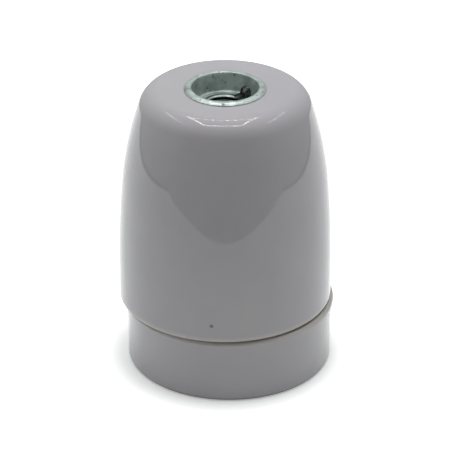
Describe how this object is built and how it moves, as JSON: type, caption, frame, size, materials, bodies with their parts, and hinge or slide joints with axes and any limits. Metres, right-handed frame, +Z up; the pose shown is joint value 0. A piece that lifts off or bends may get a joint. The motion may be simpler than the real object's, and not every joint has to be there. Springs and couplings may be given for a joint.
{
  "type": "lamp holder",
  "caption": "Glazed porcelain lamp holder: a domed cap with a metal tube-entry bush, screwed on a ring-shaped socket base with a screw shell.",
  "frame": {"origin": "centre of the mouth, in the plane that the holder stands on, on the axis of the lamp and the dome", "axes": "+Z up from the mouth to the crown, along the common axis of the lamp, the thread and the tube entry; +Y towards the back of the picture"},
  "size_m": [0.0475, 0.0468, 0.065],
  "materials": {
    "porcelain": "glossy glaze",
    "zinc_plate": "zinc plated",
    "dark_steel": "black oxide",
    "brass": "plain",
    "bronze": "spring bronze"
  },
  "bodies": {
    "base": {"socket_base": "porcelain", "screw_shell": "brass", "contact_screw": "brass", "shell_screw": "brass", "live_terminal": "brass", "neutral_terminal": "brass"},
    "washer": {"bush_washer": "zinc_plate"},
    "dome": {"dome": "porcelain", "entry_bush": "zinc_plate", "bush_nut": "zinc_plate", "earth_tag": "brass"},
    "lock_screw": {"tube_lock_screw": "dark_steel"},
    "earth_washer": {"earth_clamp_washer": "zinc_plate"},
    "earth_screw": {"earth_screw": "zinc_plate"},
    "contact": {"centre_contact": "bronze"},
    "live_plate": {"live_clamp_plate": "zinc_plate"},
    "live_screw": {"live_clamp_screw": "zinc_plate"},
    "neutral_plate": {"neutral_clamp_plate": "zinc_plate"},
    "neutral_screw": {"neutral_clamp_screw": "zinc_plate"}
  },
  "joints": [
    {"name": "dome_rise", "type": "slide", "parent": "base", "child": "washer", "axis": [0, 0, 1], "range_m": [0, 0.008]},
    {"name": "dome_turn", "type": "hinge", "parent": "washer", "child": "dome", "pos_m": [0, 0, 0.04], "axis": [0, 0, 1], "range_deg": [0, 720]},
    {"name": "lock_screw_advance", "type": "slide", "parent": "dome", "child": "lock_screw", "axis": [-0.6947, -0.7193, 0], "range_m": [0, 0.0007]},
    {"name": "earth_washer_drop", "type": "slide", "parent": "dome", "child": "earth_washer", "axis": [0, 0, -1], "range_m": [0, 0.0015]},
    {"name": "earth_screw_turn", "type": "hinge", "parent": "earth_washer", "child": "earth_screw", "pos_m": [0, 0.0138, 0.053], "axis": [0, 0, -1], "range_deg": [0, 1080]},
    {"name": "contact_spring", "type": "hinge", "parent": "base", "child": "contact", "pos_m": [-0.005, 0, 0.0264], "axis": [0, -1, 0], "range_deg": [0, 9], "stiffness_Nm_per_rad": 0.1},
    {"name": "live_plate_drop", "type": "slide", "parent": "base", "child": "live_plate", "axis": [0, 0, -1], "range_m": [0, 0.002]},
    {"name": "live_screw_turn", "type": "hinge", "parent": "live_plate", "child": "live_screw", "pos_m": [-0.0069, 0, 0.04], "axis": [0, 0, -1], "range_deg": [0, 1200]},
    {"name": "neutral_plate_drop", "type": "slide", "parent": "base", "child": "neutral_plate", "axis": [0, 0, -1], "range_m": [0, 0.002]},
    {"name": "neutral_screw_turn", "type": "hinge", "parent": "neutral_plate", "child": "neutral_screw", "pos_m": [0.008, 0, 0.04], "axis": [0, 0, -1], "range_deg": [0, 1200]}
  ],
  "couplings": [
    {"joint": "dome_rise", "follows": "dome_turn", "m_per_rad": 0.00063662},
    {"joint": "earth_screw_turn", "follows": "earth_washer_drop", "rad_per_m": 12566},
    {"joint": "live_screw_turn", "follows": "live_plate_drop", "rad_per_m": 10472},
    {"joint": "neutral_screw_turn", "follows": "neutral_plate_drop", "rad_per_m": 10472}
  ]
}
